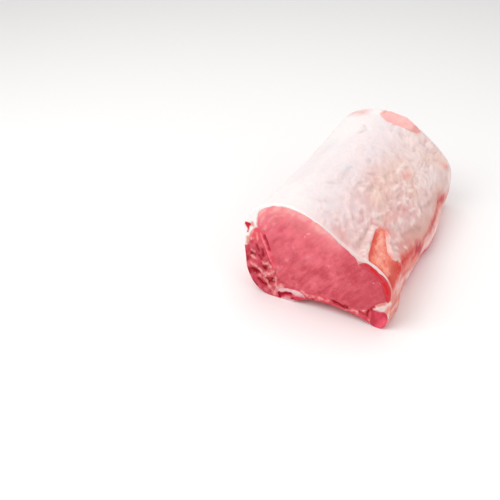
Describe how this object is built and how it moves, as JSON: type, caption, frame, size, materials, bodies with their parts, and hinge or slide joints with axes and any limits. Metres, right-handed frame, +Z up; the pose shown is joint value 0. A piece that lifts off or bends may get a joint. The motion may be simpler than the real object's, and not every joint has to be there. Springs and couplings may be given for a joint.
{
  "type": "raw pork loin",
  "caption": "Raw pork loin joint lying fat side up, cut square at both ends, with a round eye of lean in a pale fat cover and ribbed meat beneath.",
  "frame": {"origin": "under the middle of the loin, on the surface it lies on", "axes": "+Y along the loin from the front cut to the back cut, +Z up through the fat cover, +X to the side where the flank muscle shows"},
  "size_m": [0.131, 0.216, 0.088],
  "materials": {
    "eye_muscle": "moist raw lean meat, rose pink, cut across the grain",
    "back_strip": "moist raw lean meat, deeper red",
    "rib_meat": "moist dark red meat streaked with pale sinew",
    "cut_rib": "white bone and gristle round dark marrow",
    "flank_muscle": "moist orange-pink meat under a thin clear skin",
    "corner_muscle": "moist raw lean meat, pink red",
    "fat_cover": "firm white fat, blushed pink on the right flank"
  },
  "bodies": {
    "root": {"eye_muscle": "eye_muscle", "back_strip": "back_strip", "rib_meat": "rib_meat", "cut_rib": "cut_rib", "flank_muscle": "flank_muscle", "corner_muscle": "corner_muscle", "fat_cover": "fat_cover"}
  },
  "joints": []
}
